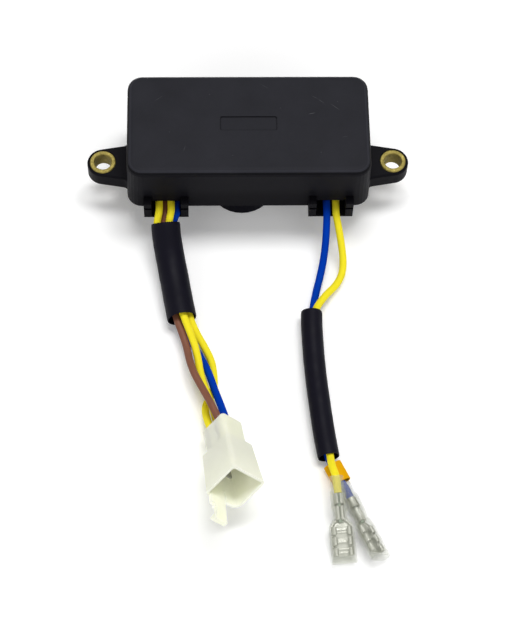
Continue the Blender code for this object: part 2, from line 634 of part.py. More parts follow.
def build_wire(name, wire, tube_route, guide):
    points = smooth_curve(wire_route(wire, tube_route, guide), POINT_SPACING)
    curve = bpy.data.curves.new(name, "CURVE")
    curve.dimensions = "3D"
    spline = curve.splines.new("POLY")
    spline.points.add(len(points) - 1)
    for knot, point in zip(spline.points, points):
        knot.co = (*point, 1.0)
    curve.bevel_depth = WIRE_RADIUS
    curve.bevel_resolution = 2
    curve.use_fill_caps = True
    curve.materials.append(finish(wire["colour"]))
    obj = bpy.data.objects.new(name, curve)
    bpy.context.collection.objects.link(obj)


def build_tube(name, route, radius, guide):
    """Open tube along a route: outer skin, inner skin and the two end rings as one closed body."""
    path = smooth_curve([guide + Vector(point) * MM for point in route], POINT_SPACING)
    outer_rings, inner_rings = [], []
    for index, point in enumerate(path):
        along = (path[min(index + 1, len(path) - 1)] - path[max(index - 1, 0)]).normalized()
        right = Vector((-along.y, along.x, 0.0)).normalized()
        up = along.cross(right)
        for rings, size in ((outer_rings, radius), (inner_rings, radius - SLEEVE_WALL)):
            rings.append([point + right * x + up * y for x, y in circle(size, SLEEVE_SIDES)])
    make_object(name, loft(outer_rings + inner_rings[::-1], closed=True), "sleeve_black")


def connector_shell():
    """Rear block, step, flaring shell, mouth rim and the inside down to its floor, in one skin."""
    def ring(size, inset, z, corner, key=None):
        corners = (corner, corner, corner, key or corner)
        return at_height(rounded_rectangle(size[0] - 2 * inset, size[1] - 2 * inset, corners, 3), z)

    step_z = CONN_BLOCK_LENGTH
    mouth_z = CONN_BLOCK_LENGTH + CONN_SHELL_LENGTH
    inner_corner = CONN_CORNER - CONN_WALL / 2
    key = CONN_KEY_CORNER
    return loft([
        ring(CONN_BLOCK, CONN_CHAMFER, 0.0, CONN_CORNER - CONN_CHAMFER),
        ring(CONN_BLOCK, 0.0, CONN_CHAMFER, CONN_CORNER),
        ring(CONN_BLOCK, 0.0, step_z, CONN_CORNER),
        ring(CONN_SHELL_BACK, CONN_CHAMFER, step_z + CONN_CHAMFER / 2, CONN_CORNER),
        ring(CONN_SHELL_BACK, 0.0, step_z + 2 * CONN_CHAMFER, CONN_CORNER, key),
        ring(CONN_MOUTH, 0.0, mouth_z, CONN_CORNER, key),
        ring(CONN_MOUTH, CONN_WALL, mouth_z, inner_corner, key - CONN_WALL),
        ring(CONN_SHELL_BACK, CONN_WALL, step_z + CONN_FLOOR, inner_corner, key - CONN_WALL),
    ])


def way_places():
    """The four ways through the rear block, clockwise from the left corner."""
    x, y = WAY_CENTRE
    across, up = WAY_PITCH[0] / 2, WAY_PITCH[1] / 2
    return ((x - across, y - up), (x - across, y + up), (x + across, y + up), (x + across, y - up))


def latch_side_profile():
    """Latch tongue from the side: (y, z) outline that splays outward and ends in a hook."""
    mouth_z = CONN_BLOCK_LENGTH + CONN_SHELL_LENGTH
    skin = -CONN_MOUTH[1] / 2 - LATCH_PROUD
    root_z = mouth_z - LATCH_SLOT_DEPTH - CONN_WALL
    end_z = mouth_z + LATCH_REACH
    tip = skin - LATCH_SPLAY
    inner = LATCH_THICKNESS
    lean = (CONN_MOUTH[1] - CONN_SHELL_BACK[1]) / 2 * (mouth_z - root_z) / CONN_SHELL_LENGTH
    return ((skin + lean, root_z), (skin, mouth_z), (tip, end_z - LATCH_HOOK),
            (tip - LATCH_HOOK_RISE, end_z - LATCH_HOOK + 0.4 * MM), (tip - 0.4 * MM, end_z),
            (tip + inner, end_z), (skin + inner, mouth_z), (skin + lean + inner, root_z))


def build_connector():
    frame = place(CONN_YAW, CONN_PITCH, CONN_ROLL, LEFT_GUIDE + Vector(CONN_AT))
    mouth_z = CONN_BLOCK_LENGTH + CONN_SHELL_LENGTH
    housing = make_object("connector_housing", connector_shell(), "nylon", frame)
    low, high = LATCH_OFFSET - LATCH_WIDTH / 2, LATCH_OFFSET + LATCH_WIDTH / 2
    skin = -CONN_MOUTH[1] / 2
    slot = block((high - LATCH_SLOT / 2, skin - CUT, mouth_z - LATCH_SLOT_DEPTH),
                 (high + LATCH_SLOT, skin + 2 * CONN_WALL, mouth_z + CUT))
    boolean(housing, make_object("latch_slot", slot, matrix=frame))
    tongue = make_object("latch_shape", prism(latch_side_profile(), low, high), matrix=frame)
    shoulder_z = mouth_z + LATCH_SHOULDER
    end_z = mouth_z + LATCH_REACH
    spans = ((shoulder_z - LATCH_SIDE_STEP_LENGTH, end_z + CUT),
             (shoulder_z + LATCH_SIDE_STEP_LENGTH, end_z - LATCH_HOOK))
    for number, (depth, (from_z, to_z)) in enumerate(zip(LATCH_SIDE_STEPS, spans), start=1):
        trim = block((low - CUT, skin - 4 * LATCH_HOOK_RISE, from_z),
                     (low + depth, skin + 4 * LATCH_HOOK_RISE, to_z))
        boolean(tongue, make_object(f"latch_trim_{number}", trim, matrix=frame))
    boolean(housing, tongue, "UNION")
    for number, (x, y) in enumerate(way_places(), start=1):
        way = rod(WIRE_RADIUS + GAP, -CUT, CONN_BLOCK_LENGTH + CONN_FLOOR + CUT, (x, y), sides=16)
        boolean(housing, make_object(f"way_cut_{number}", way, matrix=frame))
        barrel_end = CONN_BLOCK_LENGTH + CONN_FLOOR - GAP
        sections = ((2 * WIRE_RADIUS, 2 * WIRE_RADIUS, WIRE_RADIUS, WIRE_INTO_WAY + GAP),
                    (2 * WIRE_RADIUS, 2 * WIRE_RADIUS, WIRE_RADIUS, barrel_end),
                    (TAB_WIDTH, TAB_THICKNESS, 0.3 * TAB_THICKNESS, barrel_end + 2 * GAP),
                    (TAB_WIDTH, TAB_THICKNESS, 0.3 * TAB_THICKNESS, barrel_end + TAB_LENGTH - 2 * GAP),
                    (TAB_WIDTH / 2, TAB_THICKNESS / 2, 0.1 * TAB_THICKNESS, barrel_end + TAB_LENGTH))
        rings = [at_height(rounded_rectangle(width, height, corner, 3, (x, y)), z)
                 for width, height, corner, z in sections]
        make_object(f"connector_pin_{number}", loft(rings), "tin", frame)


def strip_section(flat, curl, turn, z, arc_steps=8):
    """Cross-section of the folded strip: a flat middle whose two edges curl up by an angle."""
    middle = [(-flat, 0.0), (0.0, 0.0), (flat, 0.0)]
    normals = [(0.0, 1.0)] * 3
    right, right_normals = [], []
    for step in range(1, arc_steps + 1):
        angle = turn * step / arc_steps
        right.append((flat + curl * math.sin(angle), curl * (1 - math.cos(angle))))
        right_normals.append((-math.sin(angle), math.cos(angle)))
    left = [(-x, y) for x, y in reversed(right)]
    left_normals = [(-x, y) for x, y in reversed(right_normals)]
    line = left + middle + right
    normals = left_normals + normals + right_normals
    half = STRIP / 2
    drop = -curl
    outer = [(x - nx * half, y - ny * half + drop, z) for (x, y), (nx, ny) in zip(line, normals)]
    inner = [(x + nx * half, y + ny * half + drop, z) for (x, y), (nx, ny) in zip(line, normals)]
    return outer + inner[::-1]


def terminal_strip():
    """Crimp barrel round the wire, open neck, then the receptacle with its two rolled edges."""
    flat, curl = RECEPTACLE_FLAT, RECEPTACLE_CURL
    closed, open_up, rolled, parted = (math.radians(angle) for angle in (165, 85, 240, 100))
    grip_end = TERMINAL_IN_SLEEVE + 0.42 * BARREL_LENGTH
    barrel_end = TERMINAL_IN_SLEEVE + BARREL_LENGTH
    start = barrel_end + NECK_LENGTH
    third = (RECEPTACLE_LENGTH - 2 * ROLL_GAP) / 3
    stations = [
        (0.2 * MM, BARREL_CURL, closed, TERMINAL_IN_SLEEVE),
        (0.2 * MM, BARREL_CURL, closed, grip_end - ROLL_GAP),
        (0.3 * MM, 0.85 * BARREL_CURL, open_up, grip_end),
        (0.3 * MM, 0.85 * BARREL_CURL, open_up, grip_end + ROLL_GAP),
        (0.2 * MM, 0.8 * BARREL_CURL, closed, grip_end + 2 * ROLL_GAP),
        (0.2 * MM, 0.8 * BARREL_CURL, closed, barrel_end),
        (0.6 * flat, 1.2 * curl, open_up, barrel_end + 0.4 * NECK_LENGTH),
        (flat, curl, parted, start),
    ]
    z = start
    for number in range(3):
        edge = 0.2 * MM
        stations.append((flat, curl, rolled, z + edge))
        stations.append((flat, curl, rolled, z + third - edge))
        if number < 2:
            stations.append((flat, curl, parted, z + third))
            stations.append((flat, curl, parted, z + third + ROLL_GAP))
        z += third + ROLL_GAP
    return loft([strip_section(*station) for station in stations])


def clear_sleeve():
    """Soft sleeve: round at the wire, wider over the barrel and flat over the receptacle."""
    neck_end = TERMINAL_IN_SLEEVE - 1.6 * MM
    barrel_end = TERMINAL_IN_SLEEVE + BARREL_LENGTH
    flat_start = barrel_end + NECK_LENGTH
    wide, thick = CLEAR_MOUTH
    stations = (
        (CLEAR_NECK, CLEAR_NECK, 0.0), (CLEAR_NECK, CLEAR_NECK, neck_end),
        (CLEAR_BARREL, CLEAR_BARREL, TERMINAL_IN_SLEEVE - 0.6 * MM),
        (CLEAR_BARREL, CLEAR_BARREL, TERMINAL_IN_SLEEVE + BARREL_LENGTH / 2),
        (CLEAR_WAIST, CLEAR_WAIST, barrel_end - 0.8 * MM),
        (0.80 * wide, 1.08 * thick, flat_start - 1.4 * MM),
        (0.98 * wide, 1.04 * thick, flat_start),
        (wide, thick, flat_start + 1.5 * MM), (wide, thick, CLEAR_LENGTH),
    )

    def ring(width, height, z, inset):
        corner = min(width, height) / 2 - inset
        return at_height(rounded_rectangle(width - 2 * inset, height - 2 * inset, corner * 0.98, 5), z)

    outer = [ring(width, height, z, 0.0) for width, height, z in stations]
    inner = [ring(width, height, z, CLEAR_WALL) for width, height, z in stations]
    return loft(outer + inner[::-1], closed=True)


def build_terminals():
    for number, (start, yaw, pitch, roll) in enumerate(TERMINALS, start=1):
        frame = place(yaw, pitch, roll, RIGHT_GUIDE + Vector(start))
        make_object(f"terminal_{number}", terminal_strip(), "tin", frame)
        make_object(f"terminal_sleeve_{number}", clear_sleeve(), "clear", frame)


def build_marker():
    def ring(inset, z):
        width, height = MARKER_SIZE[0] - 2 * inset, MARKER_SIZE[1] - 2 * inset
        return at_height(rounded_rectangle(width, height, 0.45 * height, 4), z)

    ends = (-MARKER_LENGTH / 2, MARKER_LENGTH / 2)
    rings = [ring(0.0, z) for z in ends] + [ring(MARKER_WALL, z) for z in reversed(ends)]
    frame = place(MARKER_YAW, at=RIGHT_GUIDE + Vector(MARKER_AT))
    make_object("marker_tube", loft(rings, closed=True), "orange", frame)


def main():
    clear_scene()
    build_case()
    build_bushings()
    build_capacitor()
    build_inside()
    for guide, tube_route, wires in ((LEFT_GUIDE, LEFT_TUBE_ROUTE, LEFT_WIRES),
                                     (RIGHT_GUIDE, RIGHT_TUBE_ROUTE, RIGHT_WIRES)):
        for name, wire in wires.items():
            build_wire(name, wire, tube_route, guide)
    build_tube("sleeve_left", LEFT_TUBE_ROUTE, SLEEVE_LEFT_RADIUS, LEFT_GUIDE)
    build_tube("sleeve_right", RIGHT_TUBE_ROUTE, SLEEVE_RIGHT_RADIUS, RIGHT_GUIDE)
    build_connector()
    build_terminals()
    build_marker()


main()
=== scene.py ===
"""Automatic voltage regulator, dressed over its frame: black potted case, two leads, studio floor."""

import json
import math

import bmesh
import bpy
from mathutils import Matrix, Vector, noise


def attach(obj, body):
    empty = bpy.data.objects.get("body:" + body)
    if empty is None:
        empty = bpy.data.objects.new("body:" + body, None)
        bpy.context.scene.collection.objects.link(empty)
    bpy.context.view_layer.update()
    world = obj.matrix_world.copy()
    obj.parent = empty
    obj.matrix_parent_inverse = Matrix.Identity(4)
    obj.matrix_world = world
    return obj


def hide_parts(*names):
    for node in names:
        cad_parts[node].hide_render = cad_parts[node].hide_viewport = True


MM = 0.001
FRAME_HEIGHT = 640  # pixels, the photograph's own

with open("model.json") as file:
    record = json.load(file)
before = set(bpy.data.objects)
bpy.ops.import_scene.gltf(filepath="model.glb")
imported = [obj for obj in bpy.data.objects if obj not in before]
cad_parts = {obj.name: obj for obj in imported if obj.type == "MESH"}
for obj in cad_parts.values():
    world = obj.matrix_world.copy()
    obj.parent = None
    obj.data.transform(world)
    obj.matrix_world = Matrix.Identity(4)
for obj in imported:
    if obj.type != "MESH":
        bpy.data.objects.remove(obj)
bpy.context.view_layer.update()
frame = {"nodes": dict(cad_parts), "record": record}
NODES = frame["nodes"]


def add_object(name, data):
    obj = bpy.data.objects.new(name, data)
    bpy.context.collection.objects.link(obj)
    return obj


# Camera, fitted to the photograph

CAMERA_ANGLES = (63.81, -3.65, 2.95)  # elevation, yaw, roll in degrees
CAMERA_TARGET = Vector((3.47, -67.475, 12.0)) * MM
CAMERA_DISTANCE = 0.701
FOCAL_PIXELS = 1940.9  # focal length at the photograph's own size
SENSOR_WIDTH = 36.0
CLIP_START = 0.01


def make_camera():
    elevation, yaw, roll = (math.radians(angle) for angle in CAMERA_ANGLES)
    level = math.cos(elevation)
    back = Vector((math.sin(yaw) * level, -math.cos(yaw) * level, math.sin(elevation)))
    right = Vector((math.cos(yaw), math.sin(yaw), 0.0))
    up = back.cross(right)
    c, s = math.cos(roll), math.sin(roll)
    axis_x = c * right + s * up
    axis_y = -s * right + c * up
    data = bpy.data.cameras.new("photo_camera")
    data.sensor_width = SENSOR_WIDTH
    data.lens = FOCAL_PIXELS / FRAME_HEIGHT * SENSOR_WIDTH
    data.clip_start = CLIP_START
    camera = add_object("photo_camera", data)
    turn = Matrix((axis_x, axis_y, back)).transposed().to_4x4()
    camera.matrix_world = Matrix.Translation(CAMERA_TARGET + back * CAMERA_DISTANCE) @ turn
    bpy.context.scene.camera = camera


# Materials

NOISE_LOW, NOISE_HIGH = 0.3, 0.7  # the part of a noise's range that it mostly fills
MIX_A, MIX_B, MIX_RESULT = 6, 7, 2  # the colour sockets of a Mix node
SCRATCH_CORE = 0.4  # share of a scratch's half width that is fully marked
HOLLOW_SAMPLES = 8


def new_material(name, colour, roughness=0.5, metallic=0.0, **inputs):
    """Principled material; same-everywhere values go straight on the shader's own sockets."""
    material = bpy.data.materials.new(name)
    material.use_nodes = True
    shader = material.node_tree.nodes["Principled BSDF"]
    shader.inputs["Base Color"].default_value = (*colour, 1.0)
    shader.inputs["Roughness"].default_value = roughness
    shader.inputs["Metallic"].default_value = metallic
    for socket, value in inputs.items():
        shader.inputs[socket.replace("_", " ")].default_value = value
    return material


def shader_of(material):
    return material.node_tree.nodes["Principled BSDF"]


def add_node(material, kind, **settings):
    node = material.node_tree.nodes.new(kind)
    for key, value in settings.items():
        if key in node.inputs:
            node.inputs[key].default_value = value
        else:
            setattr(node, key, value)
    return node


def link(material, output, socket):
    material.node_tree.links.new(output, socket)


def noise_of(material, scale, detail=4.0, rough=0.55):
    """Noise read in the object's own coordinates."""
    coordinates = add_node(material, "ShaderNodeTexCoord")
    texture = add_node(material, "ShaderNodeTexNoise", Scale=scale, Detail=detail, Roughness=rough)
    link(material, coordinates.outputs["Object"], texture.inputs["Vector"])
    return texture.outputs["Fac"]


def remap(material, value, low, high, to_low, to_high):
    """A value's range moved to another one, held at both ends."""
    node = add_node(material, "ShaderNodeMapRange")
    node.inputs["From Min"].default_value = low
    node.inputs["From Max"].default_value = high
    node.inputs["To Min"].default_value = to_low
    node.inputs["To Max"].default_value = to_high
    link(material, value, node.inputs["Value"])
    return node.outputs["Result"]


def ramp(material, value, stops):
    """A colour read off a row of (position, colour) stops."""
    node = add_node(material, "ShaderNodeValToRGB")
    elements = node.color_ramp.elements
    while len(elements) < len(stops):
        elements.new(0.5)
    for element, (position, colour) in zip(elements, stops):
        element.position = position
        element.color = (*colour, 1.0)
    link(material, value, node.inputs["Fac"])
    return node.outputs["Color"]


def mix_colour(material, factor, one, two, blend="MIX"):
    """Two colours, sockets or plain ones, mixed by a factor."""
    node = add_node(material, "ShaderNodeMix", data_type="RGBA", blend_type=blend)
    for socket, value in ((node.inputs[MIX_A], one), (node.inputs[MIX_B], two)):
        if isinstance(value, tuple):
            socket.default_value = (*value, 1.0)
        else:
            link(material, value, socket)
    link(material, factor, node.inputs[0])
    return node.outputs[MIX_RESULT]


def bump(material, layers):
    """Bump of several heights in metres, one over the other."""
    normal = None
    for height, distance in layers:
        node = add_node(material, "ShaderNodeBump", Strength=1.0, Distance=distance)
        link(material, height, node.inputs["Height"])
        if normal:
            link(material, normal, node.inputs["Normal"])
        normal = node.outputs["Normal"]
    link(material, normal, shader_of(material).inputs["Normal"])


def vary(material, colour, amount, scale, detail=3.0):
    """Colour that drifts a little lighter and darker over the surface."""
    dark = tuple(c * (1.0 - amount) for c in colour)
    light = tuple(min(c * (1.0 + amount), 1.0) for c in colour)
    texture = noise_of(material, scale, detail)
    result = ramp(material, texture, ((NOISE_LOW, dark), (NOISE_HIGH, light)))
    link(material, result, shader_of(material).inputs["Base Color"])


def roughen(material, texture, smoothest, roughest):
    """Roughness that follows a noise."""
    rough = remap(material, texture, NOISE_LOW, NOISE_HIGH, smoothest, roughest)
    link(material, rough, shader_of(material).inputs["Roughness"])


def scratch_mask(material, places):
    """Fine straight marks seen from above: each a place, an angle, a length and a width."""
    coordinates = add_node(material, "ShaderNodeTexCoord")
    total = None
    for (x, y), angle, length, width in places:
        mapping = add_node(material, "ShaderNodeMapping", vector_type="TEXTURE")
        mapping.inputs["Location"].default_value = (x, y, 0.0)
        mapping.inputs["Rotation"].default_value = (0.0, 0.0, math.radians(angle))
        mapping.inputs["Scale"].default_value = (length / 2, width / 2, 1.0)
        link(material, coordinates.outputs["Object"], mapping.inputs["Vector"])
        flat = add_node(material, "ShaderNodeVectorMath", operation="MULTIPLY")
        flat.inputs[1].default_value = (1.0, 1.0, 0.0)
        link(material, mapping.outputs["Vector"], flat.inputs[0])
        span = add_node(material, "ShaderNodeVectorMath", operation="LENGTH")
        link(material, flat.outputs["Vector"], span.inputs[0])
        mask = remap(material, span.outputs["Value"], SCRATCH_CORE, 1.0, 1.0, 0.0)
        if total is None:
            total = mask
        else:
            node = add_node(material, "ShaderNodeMath", operation="MAXIMUM")
            link(material, total, node.inputs[0])
            link(material, mask, node.inputs[1])
            total = node.outputs["Value"]
    return total


def painted_hollow_shade(material, distance, deep, open_from):
    """Share of painted shade in a hollow: 1 deep in a corner of the piece itself, 0 on its open faces."""
    node = add_node(material, "ShaderNodeAmbientOcclusion", samples=HOLLOW_SAMPLES, only_local=True,
                    Distance=distance)
    return remap(material, node.outputs["AO"], deep, open_from, 1.0, 0.0)


# The case's black plastic by height over the floor: darkest below, greyer on the walls and palest on the top
CASE_BELOW = (0.0052, 0.0049, 0.0068)
CASE_WALLS = (0.0088, 0.0086, 0.0112)
CASE_TOP = (0.0212, 0.0214, 0.0264)
CASE_SCRATCHED = (0.054, 0.054, 0.060)
CASE_PAINTED_CORNER_SHADE = (0.0030, 0.0029, 0.0040)
# heights over the floor between which one shade gives way to the next
WALLS_FADE = (0.0190, 0.0240)
TOP_FADE = (0.0330, 0.0345)
RIM_PAINTED_LIGHT_FADE = (0.0318, 0.0324)
CLOUD_DARKER, CLOUD_LIGHTER = 0.86, 1.12
# brightness painted on the moulded top edge by how far its faces look up: a painted highlight where it turns,
# then a painted dark line of shade above the wall
RIM_PAINTED_LIGHT_LEVELS = ((0.25, 1.0), (0.42, 0.45), (0.62, 0.45), (0.76, 1.0), (0.84, 1.5), (0.94, 1.5), (0.985, 1.0))
# marks on the case's top: place, angle in degrees, length, width
SCRATCHES = (
    ((0.0246, 0.0128), -31.0, 0.0030, 0.00022), ((0.0269, 0.0111), -39.0, 0.0034, 0.00026),
    ((0.0320, 0.0086), -40.0, 0.0052, 0.00026), ((0.0233, 0.0058), 14.0, 0.0030, 0.00050),
    ((-0.0235, -0.0090), 72.0, 0.0034, 0.00016), ((0.0062, 0.0176), -34.0, 0.0038, 0.00014),
    ((-0.0330, 0.0125), 38.0, 0.0044, 0.00014), ((0.0352, -0.0042), 12.0, 0.0028, 0.00014),
)
DUST = (
    ((0.0262, -0.0108), 0.0, 0.00050, 0.00042), ((0.0118, 0.0082), 20.0, 0.00042, 0.00034),
    ((-0.0142, 0.0142), 50.0, 0.00044, 0.00034), ((-0.0290, -0.0020), 10.0, 0.00040, 0.00036),
    ((0.0330, 0.0110), 80.0, 0.00042, 0.00034), ((-0.0060, -0.0120), 30.0, 0.00040, 0.00032),
)


def make_case_black():
    material = new_material("case_black", CASE_BELOW, 0.5, Specular_IOR_Level=0.03)
    fine = noise_of(material, scale=2600.0, detail=2.0, rough=0.5)
    cloud = noise_of(material, scale=55.0, detail=5.0, rough=0.6)
    roughen(material, cloud, 0.40, 0.50)
    below, walls, top = (
        ramp(material, cloud, ((NOISE_LOW, tuple(c * CLOUD_DARKER for c in colour)),
                               (NOISE_HIGH, tuple(c * CLOUD_LIGHTER for c in colour))))
        for colour in (CASE_BELOW, CASE_WALLS, CASE_TOP))
    coordinates = add_node(material, "ShaderNodeTexCoord")
    place = add_node(material, "ShaderNodeSeparateXYZ")
    link(material, coordinates.outputs["Object"], place.inputs["Vector"])
    height = place.outputs["Z"]
    shade = mix_colour(material, remap(material, height, *WALLS_FADE, 0.0, 1.0), below, walls)
    shade = mix_colour(material, remap(material, height, *TOP_FADE, 0.0, 1.0), shade, top)
    facing = add_node(material, "ShaderNodeSeparateXYZ")
    link(material, coordinates.outputs["Normal"], facing.inputs["Vector"])
    # painted highlight and painted shade on the rounded top edge, by how far its faces look up
    edge = ramp(material, facing.outputs["Z"], [(at, (level, level, level)) for at, level in RIM_PAINTED_LIGHT_LEVELS])
    shade = mix_colour(material, remap(material, height, *RIM_PAINTED_LIGHT_FADE, 0.0, 1.0), shade, edge, "MULTIPLY")
    shade = mix_colour(material, scratch_mask(material, SCRATCHES + DUST), shade, CASE_SCRATCHED)
    # painted shade darkening the case's inner corners and the edges of its recess
    shade = mix_colour(material, painted_hollow_shade(material, 0.7 * MM, deep=0.55, open_from=0.95), shade,
                       CASE_PAINTED_CORNER_SHADE)
    link(material, shade, shader_of(material).inputs["Base Color"])
    bump(material, ((fine, 0.03 * MM), (cloud, 0.06 * MM)))
    return material


def make_plating(name, colour, roughness, blotch=0.25):
    """Metal with fine blotches of the given share."""
    material = new_material(name, colour, roughness, metallic=1.0)
    vary(material, colour, blotch, scale=420.0, detail=5.0)
    fine = noise_of(material, scale=1500.0, detail=4.0)
    roughen(material, fine, roughness * 0.8, roughness * 1.3)
    bump(material, ((fine, 0.03 * MM),))
    return material


TIN_BRIGHT = (0.42, 0.42, 0.38)
TIN_PAINTED_FOLD_SHADE = (0.055, 0.070, 0.052)


def make_tin():
    """Bright tin plating, with greenish painted shade in its folds and slots."""
    material = make_plating("tin", TIN_BRIGHT, 0.46, blotch=0.05)
    socket = shader_of(material).inputs["Base Color"]
    bright = socket.links[0].from_socket
    # painted shade, dark and greenish, in the strip's folds and slots
    folds = painted_hollow_shade(material, 0.9 * MM, deep=0.25, open_from=0.75)
    link(material, mix_colour(material, folds, bright, TIN_PAINTED_FOLD_SHADE), socket)
    return material


def make_plastic(name, colour, roughness, drift=0.06, grain=0.02 * MM, scale=900.0, **inputs):
    """Plastic whose colour drifts a little, with a fine grain of the given height and scale."""
    material = new_material(name, colour, roughness, **inputs)
    vary(material, colour, drift, scale=160.0)
    fine = noise_of(material, scale, detail=3.0)
    roughen(material, fine, roughness * 0.85, roughness * 1.2)
    bump(material, ((fine, grain),))
    return material


# how far the vinyl covers what is behind it, seen straight on and towards its edges
VINYL_TURN = (0.55, 0.80)
VINYL_COVER = (0.18, 0.70)


def make_clear_vinyl():
    """Thin soft vinyl: mostly let through straight, with a greenish grey veil and a clear gloss."""
    material = new_material("clear_vinyl", (0.55, 0.57, 0.46), 0.08, IOR=1.5)
    edge = add_node(material, "ShaderNodeLayerWeight", Blend=0.35)
    veil = remap(material, edge.outputs["Facing"], *VINYL_TURN, *VINYL_COVER)
    link(material, veil, shader_of(material).inputs["Alpha"])
    bump(material, ((noise_of(material, scale=260.0, detail=2.0), 0.02 * MM),))
    return material


def make_materials():
    plastics = {
        # colour, roughness, and what differs from make_plastic's usual grain and drift
        "capacitor_sleeve": ((0.0018, 0.0016, 0.0045), 0.35, {"Specular_IOR_Level": 0.02}),
        "board": ((0.03, 0.16, 0.06), 0.45, {}),
        "resin": ((0.008, 0.008, 0.009), 0.22, {"grain": 0.12 * MM, "scale": 160.0}),
        "moulded_black": ((0.02, 0.02, 0.02), 0.5, {}),
        "ceramic_body": ((0.72, 0.70, 0.64), 0.7, {"grain": 0.06 * MM}),
        "film_red": ((0.42, 0.05, 0.03), 0.3, {}),
        "wire_yellow": ((0.90, 0.77, 0.024), 0.50,
                        {"drift": 0.02, "grain": 0.03 * MM, "scale": 350.0, "Specular_IOR_Level": 0.05}),
        "wire_brown": ((0.200, 0.080, 0.048), 0.45,
                       {"grain": 0.03 * MM, "scale": 350.0, "Specular_IOR_Level": 0.15}),
        "wire_blue": ((0.0004, 0.040, 0.40), 0.60,
                      {"drift": 0.05, "grain": 0.03 * MM, "scale": 350.0, "Specular_IOR_Level": 0.02}),
        "sleeve_black": ((0.0045, 0.0041, 0.0086), 0.46,
                         {"drift": 0.10, "grain": 0.08 * MM, "scale": 240.0, "Specular_IOR_Level": 0.06}),
        "nylon": ((0.90, 0.92, 0.69), 0.42,
                  {"drift": 0.015, "scale": 700.0, "Specular_IOR_Level": 0.15, "Subsurface_Weight": 1.0,
                   "Subsurface_Scale": 3.2 * MM, "Subsurface_Radius": (1.0, 1.0, 1.0)}),
        "marker_orange": ((0.72, 0.36, 0.001), 0.55, {"drift": 0.05, "Specular_IOR_Level": 0.03}),
    }
    finishes = {name: make_plastic(name, colour, roughness, **inputs)
                for name, (colour, roughness, inputs) in plastics.items()}
    finishes["case_black"] = make_case_black()
    finishes["brass"] = make_plating("brass", (0.250, 0.205, 0.060), 0.62)
    finishes["tin"] = make_tin()
    finishes["strands"] = make_plating("strands", (0.34, 0.42, 0.34), 0.42, blotch=0.5)
    finishes["clear_vinyl"] = make_clear_vinyl()
    return finishes


def dress(obj, slot, finishes, finish=None):
    """Give a piece the finish of its slot, or another one."""
    obj.data.materials.clear()
    obj.data.materials.append(finishes[finish or slot])


# Geometry helpers

CURVE_STEPS = 16


def smooth_curve(points, spacing):
    """Points at about equal steps along a smooth curve through the given ones."""
    knots = [Vector(point) for point in points]
    ends = [2 * knots[0] - knots[1], *knots, 2 * knots[-1] - knots[-2]]
    fine = []
    for p0, p1, p2, p3 in zip(ends, ends[1:], ends[2:], ends[3:]):
        t1 = (p1 - p0).length ** 0.5
        t2 = t1 + (p2 - p1).length ** 0.5
        t3 = t2 + (p3 - p2).length ** 0.5
        for step in range(CURVE_STEPS):
            t = t1 + (t2 - t1) * step / CURVE_STEPS
            a1 = p0.lerp(p1, t / t1)
            a2 = p1.lerp(p2, (t - t1) / (t2 - t1))
            a3 = p2.lerp(p3, (t - t2) / (t3 - t2))
            b1 = a1.lerp(a2, t / t2)
            b2 = a2.lerp(a3, (t - t1) / (t3 - t1))
            fine.append(b1.lerp(b2, (t - t1) / (t2 - t1)))
    fine.append(knots[-1])
    lengths = [0.0]
    for one, two in zip(fine, fine[1:]):
        lengths.append(lengths[-1] + (two - one).length)
    count = max(2, round(lengths[-1] / spacing))
    result, index = [], 0
    for number in range(count + 1):
        wanted = lengths[-1] * number / count
        while index < len(fine) - 2 and lengths[index + 1] < wanted:
            index += 1
        share = (wanted - lengths[index]) / (lengths[index + 1] - lengths[index])
        result.append(fine[index].lerp(fine[index + 1], min(share, 1.0)))
    return result


def mesh_object(name, bm, smooth=35.0):
    """Object from a bmesh, smooth where faces meet at less than the given angle."""
    bmesh.ops.recalc_face_normals(bm, faces=bm.faces)
    mesh = bpy.data.meshes.new(name)
    bm.to_mesh(mesh)
    bm.free()
    mesh.shade_smooth()
    mesh.set_sharp_from_angle(angle=math.radians(smooth))
    return add_object(name, mesh)


def loft(rings, closed=False):
    """Skin over rings of points, capped at both ends or closed upon itself."""
    bm = bmesh.new()
    rows = [[bm.verts.new(point) for point in ring] for ring in rings]
    pairs = list(zip(rows, rows[1:]))
    if closed:
        pairs.append((rows[-1], rows[0]))
    for lower, upper in pairs:
        for i in range(len(lower)):
            j = (i + 1) % len(lower)
            bm.faces.new((lower[i], lower[j], upper[j], upper[i]))
    if not closed:
        bm.faces.new(reversed(rows[0]))
        bm.faces.new(rows[-1])
    return bm


def across_and_up(along):
    """Two directions square to a path: level across it, and up from it."""
    right = Vector((-along.y, along.x, 0.0)).normalized()
    return right, along.cross(right)


# Lead sizes and places, the same as the frame's

WIRE_RADIUS = 1.35 * MM
WIRE_STEP = 1.2 * MM
WIRE_BEVEL_RESOLUTION = 6
SLEEVE_WALL = 0.5 * MM
LEFT_SLEEVE_RADIUS = 5.4 * MM
RIGHT_SLEEVE_RADIUS = 3.95 * MM
RIM_HEIGHT = 12.0  # of the case's rim over the floor, in millimetres as the routes are
LEFT_GUIDE = Vector((-30.5, -20.075, 0.0)) * MM
RIGHT_GUIDE = Vector((30.5, -20.075, 0.0)) * MM
